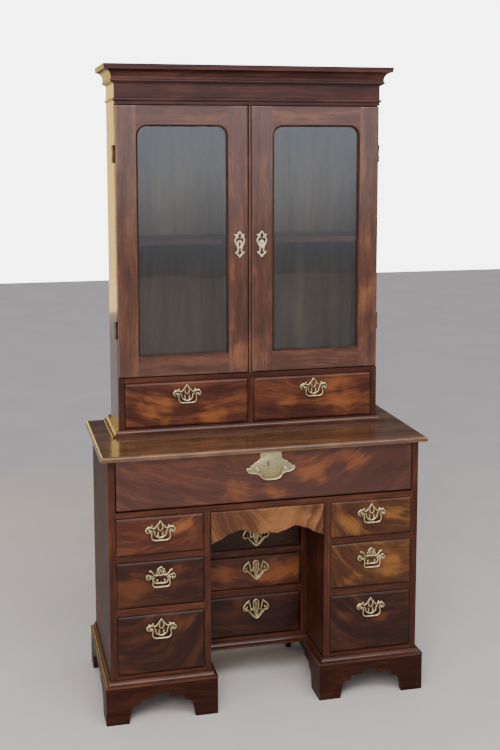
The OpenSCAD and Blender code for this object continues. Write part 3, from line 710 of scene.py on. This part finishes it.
PULL_PATTERNS = {
    "ogee": ([
        ([(0, 30), (3, 26), (6, 22), (12, 14), (18, 8), (25, 6)], 2.8),
        ([(4, 22), (7.4, 15), (7.3, 7), (4.5, 0.5), (0, -2.5)], 2.2),
        ([(24, 6), (32, 10), (41, 9), (47.5, 3), (45.5, -5), (39, -8)], 2.9),
        ([(30, 2), (36, -2), (42, 1)], 2.4),
        ([(25, 1), (20, -4), (19, -12), (15, -19), (10, -20.5), (7, -16), (8, -9)], 2.3),
        ([(11, -21), (6, -24.5), (0, -25.5)], 2.7),
    ], [(28, 14, 4.2), (40, 11, 4.0), (33, -9, 3.2), (8, -8.5, 2.7), (0, 29, 3.2), (0, -25, 3.2),
        (37, 1, 3.2)]),
    "arched": ([
        ([(0, 32), (5, 29), (8, 24), (8, 16), (6, 7), (0, 4)], 2.7),
        ([(0, 24), (3, 20), (3, 11)], 1.7),
        ([(8, 24), (11, 24), (10.5, 18)], 2.2),
        ([(6, 6), (14, 5), (14.5, 13)], 2.2),
        ([(13.5, 3), (21, 6), (26, 12), (31, 19), (37, 21)], 2.8),
        ([(20, -5), (25, 0), (31, 2.5), (38, 5), (42, 10)], 2.6),
        ([(41, 8), (46.5, 3), (45, -6), (37, -9)], 2.5),
        ([(26, -3), (32, -4), (38, -2)], 2.4),
        ([(26, -2), (24, -12), (18, -21), (8, -22.5), (0, -23)], 2.5),
        ([(13, -14), (12, -20)], 2.2),
    ], [(37, 20, 3.4), (31, -4, 4.0), (13.5, 15, 3.2), (12, -12, 3.8), (0, -20, 3.2), (11, 25, 3.0),
        (0, 32, 2.8)]),
    "horned": ([
        ([(0, 33), (6, 30), (9, 24), (9, 10), (7, -4), (3, -16), (0, -24)], 2.6),
        ([(0, 24), (3, 20), (3, 2), (0, -8)], 1.8),
        ([(27, 30), (23, 19), (20, 7), (19, -4)], 2.4),
        ([(28, 27), (38, 19), (45, 8), (43, -3), (35, -6), (29, -3)], 3.0),
        ([(28, -5), (20, -14), (10, -23), (0, -29)], 2.6),
        ([(9, 2), (15, -3), (19, -7)], 2.0),
    ], [(27, 30, 2.8), (32, 7, 3.2), (20, -13, 2.8), (0, -29, 3.2), (0, -8, 3.0), (0, 33, 2.8)]),
}
BAIL_SHAPES = {
    "ogee": [(30.4, 0), (29, -5), (30.5, -12), (30.5, -20), (26.5, -27.5), (18, -31), (9, -31), (0, -31.2)],
    "arched": [(30.4, 0), (28.5, -7), (27, -14), (27.8, -22), (25.5, -28.5), (18, -31.5), (9, -31.6),
               (0, -31.6)],
    "horned": [(30.4, 0), (27.5, -6), (23, -11), (17, -18), (9, -26), (3, -30.5), (0, -31.5)],
    "lock": [(41.9, 0), (40.5, -6), (36, -12), (36, -20), (30, -29), (19, -33.8), (8, -34.8), (0, -35)],
}


def post(x, ball=4.0):
    """A turned post on a round rosette; the bail's pin enters it from the side."""
    rosette = [(0.0, 0.0), (5.8, 0.0), (6.0, -1.4), (5.0, -2.6), (4.0, -3.0)]
    neck = [(3.2, -4.4), (2.8, -6.0)]
    head = [(ball - 0.4, -8.0), (ball, -10.0), (ball - 0.4, -12.2), (ball - 1.8, -13.9), (0.0, -14.4)]
    profile = rosette + neck + head
    return turned([(r * MM, t * MM) for r, t in profile], (x * MM, 0, 0))


def pull_mesh(pattern):
    """The pierced plate of a pull with its two posts, around the point between the pivots on the face."""
    lines, beads = PULL_PATTERNS[pattern]
    parts = straps(lines, STRAP_FULLNESS) + knobs(beads) + [post(-POST_HALF), post(POST_HALF)]
    return joined("pull_" + pattern, parts)


def bail_mesh(shape):
    """A cast bail, thicker at the bottom, with the pins that enter its posts."""
    half = curve_points(BAIL_SHAPES[shape], 6)
    line = half + [Vector((-p.x, p.y)) for p in half[-2::-1]]
    count = len(line)
    radii = [(1.9 + 0.8 * math.sin(math.pi * i / (count - 1)) ** 2) * MM for i in range(count)]
    parts = [rod([(p.x * MM, 0, p.y * MM) for p in line], radii, 12)]
    reach = BAIL_SHAPES[shape][0][0]
    for s in (-1, 1):
        parts.append(turned([(0.0, -0.5 * s * MM), (1.7 * MM, -0.5 * s * MM),
                             (1.7 * MM, s * PIN_REACH * MM), (0.0, s * PIN_REACH * MM)],
                            (s * reach * MM, 0, 0), "X", 14))
        angles = [math.pi * k / 8 for k in range(9)]
        parts.append(turned([(2.3 * math.sin(a) * MM, -2.3 * math.cos(a) * MM) for a in angles],
                            (s * reach * MM, 0, 0), "X", 12))
    return joined("bail_" + shape, parts)


def placed(name, mesh, material, place, node):
    """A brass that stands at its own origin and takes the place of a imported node."""
    made = bpy.data.objects.new(name, mesh)
    bpy.context.scene.collection.objects.link(made)
    if not mesh.materials:
        mesh.materials.append(material)
        mesh.polygons.foreach_set("use_smooth", [True] * len(mesh.polygons))
        mesh.set_sharp_from_angle(angle=math.radians(45))
    made.location = place
    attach(made, BODY_OF[node])
    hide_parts(node)
    return made


PULL_MESHES = {name: pull_mesh(name) for name in PULL_PATTERNS}
BAIL_MESHES = {name: bail_mesh(name) for name in BAIL_SHAPES}


def hang(name, plate, bail, pattern):
    low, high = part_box(bail)
    centre = (low.x + high.x) / 2
    pivot_z = high.z - PIVOT_UNDER_TOP * MM
    if plate:
        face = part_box(plate)[1].y
        placed(name + "_pierced_plate", PULL_MESHES[pattern], BRASS, (centre, face, pivot_z), plate)
    pivot = (centre, (low.y + high.y) / 2, pivot_z)
    placed(name + "_swinging_bail", BAIL_MESHES[pattern], BRASS, pivot, bail)


for side in ("left", "right"):
    hang("upper_" + side, f"upper_{side}_pull", f"upper_{side}_bail", "ogee")
    for row, pattern in ((1, "ogee"), (2, "arched"), (3, "ogee")):
        hang(f"{side}_{row}", f"{side}_pull_{row}", f"{side}_bail_{row}", pattern)
for row in (1, 2, 3):
    hang(f"recess_{row}", f"recess_pull_{row}", f"recess_bail_{row}", "horned")
hang("fall", None, "fall_bail", "lock")

LOCK_OUTLINE = [
    (0, 52), (35, 52), (35, 33), (37, 27), (42, 22), (49, 18), (57, 15), (59, 9), (62, 7), (66, 8),
    (70, 3), (71, -2), (75, -4), (79, -1), (83, -4), (83, -8), (78, -14), (68, -19), (56, -20.5),
    (45, -23), (38, -29), (31, -36.5), (20, -41.5), (8, -43),
]
# millimetres: the fall's pivot from its lower front edge, and the radii of the quadrant stays
FALL_PIVOT, STAY_OUTER, STAY_INNER = 12.5, 128, 118


def lock_plate():
    """The fall's solid lock plate with its raised rim, keyhole and posts, and the fall's two stays."""
    low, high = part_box("fall_front")
    bail_low, bail_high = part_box("fall_bail")
    x = (bail_low.x + bail_high.x) / 2
    pivot_z = bail_high.z - PIVOT_UNDER_TOP * MM
    z = pivot_z + 6 * MM
    outline = LOCK_OUTLINE + [(-a, b) for a, b in LOCK_OUTLINE[:0:-1]]
    shrunk = [(a * 0.965, b * 0.965) for a, b in outline]
    rings = [[(x + a * MM, low.y - y * MM, z + b * MM) for a, b in ring]
             for ring, y in ((outline, 0.0), (outline, 1.1), (shrunk, 2.0))]
    rim = [(x + a * 0.985 * MM, low.y - 1.2 * MM, z + b * 0.985 * MM) for a, b in outline]
    # keyhole: a thin dark slab laid on the plate's face, a painted shadow in place of a hole
    slot = [(-10.7, 15), (-11.2, 18), (-9, 20.8), (-6.8, 18), (-7.3, 15), (-7.3, 2), (-10.7, 2)]
    key = slab([(x + a * MM, z + b * MM) for a, b in slot], low.y - 2.15 * MM, low.y - 1.6 * MM)
    posts = joined("posts", [post(-48, 5.4), post(48, 5.4)])
    posts.transform(Matrix.Translation((x, low.y - 1.6 * MM, pivot_z)))
    raised = joined("raised", [rod(rim, [1.7 * MM] * len(rim), 8, 1.0, closed=True), posts])
    piece("lock_plate", loft(rings), PLATE_BRASS, "fall", ("fall_brass",), 30)
    # rim and posts in the paler brass: painted highlight
    piece("lock_rim_and_posts", raised, PALE_HIGHLIGHT_BRASS, "fall", (), 40)
    piece("lock_keyhole", key, PAINTED_KEYHOLE_SHADOW, "fall", (), 0)
    stays = []
    brass_low, brass_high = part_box("fall_brass")
    hinge_y = low.y + FALL_PIVOT * MM
    hinge_z = low.z + FALL_PIVOT * MM
    start, end = math.acos(FALL_PIVOT / STAY_OUTER), math.asin(15.5 / STAY_INNER)
    turns = 24
    for s in (-1, 1):
        stay_x = (brass_high.x - 3 * MM, brass_high.x) if s > 0 else (brass_low.x, brass_low.x + 3 * MM)
        arc = [start + (end - start) * k / turns for k in range(turns + 1)]
        ring = [(hinge_y + r * MM * math.cos(a), hinge_z + r * MM * math.sin(a))
                for r, sweep_of in ((STAY_OUTER, arc), (STAY_INNER, arc[::-1])) for a in sweep_of]
        stays.append(slab(ring, *stay_x, "X"))
        lug_x = sorted((s * (abs(stay_x[0]) - 13 * MM), s * abs(stay_x[1])))
        stays.append(board(lug_x, (high.y, high.y + 2 * MM), (hinge_z + 107 * MM, hinge_z + 137 * MM)))
    ease(piece("fall_stays", joined("fall_stays", stays), PLATE_BRASS, "fall"), 0.4)


# near-black with specks: painted shadow of the keyhole
def keyhole_shadow_material():
    tree = Tree("keyhole_shadow")
    speck = tree.noise(tree.object_point(), 300.0, 2.0, 0.5)
    black = tree.ramp(speck, [(0.3, (0.004, 0.003, 0.002)), (0.7, (0.016, 0.011, 0.006))])
    return tree.finish(Base_Color=black, Roughness=0.8)


PAINTED_KEYHOLE_SHADOW = keyhole_shadow_material()
lock_plate()


# ---------------------------------------------------------------- doors


def mirrored(mesh, side):
    """The mesh itself for the right-hand side, turned over for the left."""
    if side < 0:
        mesh.transform(Matrix.Scale(-1, 4, (1, 0, 0)))
        mesh.flip_normals()
    return mesh


ESCUTCHEON = [
    ([(0, 44), (6.5, 35), (9, 28), (5, 21.5)], 1.7),
    ([(7, 27), (12, 30), (16, 33)], 1.7),
    ([(8, 28), (13.6, 21), (16, 13), (13, 3), (8, -7), (6.3, -14), (6.3, -23), (10, -28), (15.5, -27)], 1.9),
    ([(15.5, -27), (8, -34), (3, -39), (0, -45)], 1.8),
    ([(0, 12), (5.2, 8), (6.3, 0), (4, -9), (0, -13)], 1.9),
    ([(9, 2), (6, -2)], 1.6),
]
ESCUTCHEON_X, ESCUTCHEON_Z = 39 * MM, 1.548


def escutcheon(x, face, z, cover):
    """Pierced keyhole plate; cover adds the small leaf that hangs over the keyhole."""
    parts = straps(ESCUTCHEON, ESCUTCHEON_FULLNESS) + knobs([(16, 33, 2.3), (0, 44, 1.9), (0, -14, 2.2)])
    if cover:
        leaf = [(0, 13), (5, 11), (6, 2), (3, -8), (0, -10), (-3, -8), (-6, 2), (-5, 11)]
        shape = slab([(a * MM, b * MM) for a, b in leaf], -3.2 * MM, -2.0 * MM)
        parts += [shape, knob(0, 12, 3.4)]
    made = joined("escutcheon", parts)
    made.transform(Matrix.Translation((x, face, z)))
    return made


def door(side):
    """Glazed door: stiles, arched top rail and bottom rail, ovolo sash moulding, beads behind the glass."""
    name = "right_door" if side > 0 else "left_door"
    body = name + "_body"
    low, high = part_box(name)
    pane_low, pane_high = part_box("right_glass")
    outer = max(-low.x, high.x)
    edge = 8 * MM if side > 0 else 8.5 * MM
    rebate = 7 * MM
    left, right = pane_low.x + 6 * MM, pane_high.x - 6 * MM
    bottom, top = pane_low.z + 6 * MM, pane_high.z - 6 * MM
    # the right door's strip stands 3 mm proud of its frame
    face = low.y + (3 * MM if side > 0 else 0)
    glass_y = pane_low.y
    back = high.y
    z = (low.z, high.z)
    corner = 38 * MM
    turns = 12
    arc = []
    for centre_x, first in ((right - corner, 0), (left + corner, 90)):
        for k in range(turns + 1):
            a = math.radians(first + 90 * k / turns)
            arc.append((centre_x + corner * math.cos(a), top - corner + corner * math.sin(a)))
    opening = [(left, bottom), (right, bottom)] + arc
    leaf_back = back - 1.8 * MM
    leaf_len = 60 * MM
    hinge_low = [place - leaf_len / 2 for place in (z[0] + 162 * MM, z[1] - 162 * MM)]
    stiles = [
        moulded_board((right, outer), z, face, glass_y, 5, 4, (0, 1, 1, 1)),
        board((right + rebate, outer), (glass_y, leaf_back), z),
        moulded_board((edge, left), z, face, glass_y, 4, 4, (0 if side > 0 else 1, 0, 1, 1)),
        board((edge, left - rebate), (glass_y, back), z),
    ]
    spans = [z[0]] + [level for start in hinge_low for level in (start, start + leaf_len)] + [z[1]]
    for k in (0, 2, 4):
        stiles.append(board((right + rebate, outer), (leaf_back, back), (spans[k], spans[k + 1])))
    ease(piece(name + "_stiles", mirrored(joined("stiles", stiles), side), WOOD["door"], body,
               (name,), 12), 0.5)
    head_rings = []
    for d, y in ((0, glass_y), (0, face + 4 * MM), (1.2 * MM, face + 1.2 * MM), (4 * MM, face)):
        head_rings.append([(p[0], y, p[1]) for p in [(left, z[1] - d)] + arc[::-1] + [(right, z[1] - d)]])
    rails = [
        loft(head_rings),
        board((left - rebate, right + rebate), (glass_y, back), (top + rebate, z[1])),
        moulded_board((left, right), (z[0], bottom), face, glass_y, 4, 4, (0, 0, 1, 0)),
        board((left - rebate, right + rebate), (glass_y, back), (z[0], bottom - rebate)),
    ]
    piece(name + "_rails", mirrored(joined("rails", rails), side), WOOD["door_rail"], body,
          (), 12)
    ovolo = [(0.0, glass_y), (0.0, face + 0.4 * MM), (1.0 * MM, face + 0.4 * MM)]
    for k in range(7):
        a = math.pi / 2 * k / 6
        ovolo.append((1.2 * MM + 5.6 * MM * math.sin(a), face + 1.4 * MM + 7.4 * MM * (1 - math.cos(a))))
    ovolo += [(6.8 * MM, glass_y)]
    piece(name + "_sash", mirrored(sweep(opening, ovolo), side), WOOD["sash"], body)
    pane_path = [(left - rebate, bottom - rebate), (right + rebate, bottom - rebate),
                 (right + rebate, top + rebate), (left - rebate, top + rebate)]
    bead = [(0.0, back - 0.6 * MM), (0.0, pane_high.y), (8.5 * MM, pane_high.y),
            (8.0 * MM, pane_high.y + 2 * MM), (4.0 * MM, back - 1.5 * MM)]
    piece(name + "_beads", mirrored(sweep(pane_path, bead), side), WOOD["sash"], body)
    hinges = []
    hinge_x = outer + 4.5 * MM
    knuckle_y = back + 0.4 * MM
    third = leaf_len / 3
    for start in hinge_low:
        hinges.append(board((outer - 18 * MM, outer - 0.2 * MM), (back - 1.4 * MM, back + 0.2 * MM),
                            (start, start + leaf_len)))
        hinges.append(board((outer - 1 * MM, hinge_x - 2.5 * MM), (back - 1.4 * MM, back + 0.2 * MM),
                            (start + third + 0.2 * MM, start + 2 * third - 0.2 * MM)))
        under, over = start + third + 0.2 * MM, start + 2 * third - 0.2 * MM
        knuckle = ((2.0 * MM, under), (4.0 * MM, under), (4.0 * MM, over), (2.0 * MM, over))
        rings = []
        for k in range(24):
            a = 2 * math.pi * k / 24
            rings.append([(hinge_x + r * math.cos(a), knuckle_y + r * math.sin(a), level)
                          for r, level in knuckle])
        hinges.append(loop_loft(rings))
    piece(name + "_hinge_leaves", mirrored(joined("hinges", hinges), side), HINGE_BRASS, body)
    plate = escutcheon(ESCUTCHEON_X, face, ESCUTCHEON_Z, side > 0)
    # the escutcheon in the paler brass: painted highlight
    piece(name + "_escutcheon", mirrored(plate, side), PALE_HIGHLIGHT_BRASS, body, (name + "_brass",), 40)


def meeting_strip():
    """Bead on the right door that covers the gap, with a quirk and a quarter round beside it."""
    low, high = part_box("right_door")
    depth = 10.0
    outline = [(-7.5, depth), (-7.5, 4.0)]
    for k in range(1, 12):
        a = math.pi * k / 12
        outline.append((-3.0 - 4.5 * math.cos(a), 4.0 - 4.0 * math.sin(a)))
    outline += [(1.5, 4.0), (1.6, 8.0), (4.2, 8.0)]
    for k in range(7):
        a = math.pi / 2 * k / 6
        outline.append((4.2 + 3.8 * (1 - math.cos(a)), 5.2 - 2.2 * math.sin(a)))
    outline.append((8.0, depth))
    shape = slab([(a * MM, low.y + b * MM) for a, b in outline], low.z, high.z, "Z")
    piece("meeting_strip", shape, WOOD["door"], "right_door_body", (), 40)


door(-1)
door(1)
meeting_strip()
dress("case_hinges", HINGE_BRASS, 0.3)
for node in ("left_glass", "right_glass"):
    dress(node, GLASS, 0)


# ---------------------------------------------------------------- stage, light and camera


def area_light(name, place, aim, size, power, colour=(1, 1, 1)):
    light = bpy.data.lights.new(name, "AREA")
    light.shape = "RECTANGLE"
    light.size, light.size_y = size
    light.energy = power
    light.color = colour
    made = bpy.data.objects.new(name, light)
    made.location = place
    made.rotation_euler = (Vector(aim) - Vector(place)).to_track_quat("-Z", "Y").to_euler()
    made.visible_camera = False
    bpy.context.scene.collection.objects.link(made)
    return made


def studio():
    """White backdrop for the camera; for the light, bright in front and overhead and dim elsewhere."""
    world = bpy.data.worlds.new("studio")
    world.use_nodes = True
    nodes, links = world.node_tree.nodes, world.node_tree.links

    def put(kind, inputs, out=0, **settings):
        made = nodes.new("ShaderNode" + kind)
        for key, value in settings.items():
            setattr(made, key, value)
        for key, value in inputs.items():
            if isinstance(value, bpy.types.NodeSocket):
                links.new(value, made.inputs[key])
            else:
                made.inputs[key].default_value = value
        return made.outputs[out]

    def fade(value, low, high, to_low, to_high):
        return put("MapRange", {"Value": value, 1: low, 2: high, 3: to_low, 4: to_high},
                   interpolation_type="SMOOTHSTEP")

    parts = put("SeparateXYZ", {0: put("TexCoord", {})}).node
    level = parts.outputs[2]
    front = fade(parts.outputs[1], -0.6, -0.93, 0.0, 1.7)
    front = put("Math", {0: front, 1: fade(level, -0.16, 0.06, 0.05, 1.0)}, operation="MULTIPLY")
    ceiling = fade(level, 0.45, 0.9, 0.10, 0.95)
    power = put("Math", {0: front, 1: ceiling}, operation="ADD")
    walls = put("Background", {0: (0.91, 0.92, 1.0, 1), 1: power})
    backdrop = put("Background", {0: (1.0, 1.0, 1.0, 1), 1: 6.0})
    ray = put("LightPath", {})
    mixed = put("MixShader", {0: ray, 1: walls, 2: backdrop})
    links.new(mixed, nodes["World Output"].inputs[0])
    bpy.context.scene.world = world


FLOOR_HALF = 12.0
corners = [(-FLOOR_HALF, -FLOOR_HALF, 0), (FLOOR_HALF, -FLOOR_HALF, 0),
           (FLOOR_HALF, FLOOR_HALF, 0), (-FLOOR_HALF, FLOOR_HALF, 0)]
floor = bpy.data.objects.new("floor", mesh_of("floor", corners, [(0, 1, 2, 3)]))
floor.data.materials.append(pale_floor())
bpy.context.scene.collection.objects.link(floor)
studio()

area_light("key_softbox", (-1.6, -3.6, 2.9), (0, 0, 1.3), (1.2, 1.2), 50, (1.0, 0.97, 0.93))
area_light("overhead_softbox", (0.1, -2.4, 3.4), (0, -0.2, 0.7), (3.4, 1.3), 92, (1.0, 0.97, 0.95))
area_light("left_strip", (-3.3, -2.6, 1.3), (-0.2, -0.2, 0.9), (0.4, 2.4), 34, (1.0, 0.95, 0.92))
area_light("warm_wall", (-1.0, 2.8, 1.75), (-0.5, 0, 1.6), (0.7, 1.7), 11, (1.0, 0.64, 0.16))

# the photographer stands to the left of the middle at eye height, with the frame shifted down
yaw, pitch, roll = 0.2382, -0.1243, -0.0012
camera_place = (-0.9017, -3.6899, 1.8815)
camera = bpy.data.objects.new("camera", bpy.data.cameras.new("camera"))
ahead = Vector((math.sin(yaw) * math.cos(pitch), math.cos(yaw) * math.cos(pitch), math.sin(pitch)))
right = Vector((math.cos(yaw), -math.sin(yaw), 0))
up = right.cross(ahead)
tilted_right = right * math.cos(roll) + up * math.sin(roll)
tilted_up = up * math.cos(roll) - right * math.sin(roll)
axes = Matrix((tilted_right, tilted_up, -ahead)).transposed()
camera.matrix_world = Matrix.Translation(camera_place) @ axes.to_4x4()
camera.data.sensor_width = 36
camera.data.lens = 53.42
camera.data.shift_y = -0.1196
bpy.context.scene.collection.objects.link(camera)
bpy.context.scene.camera = camera
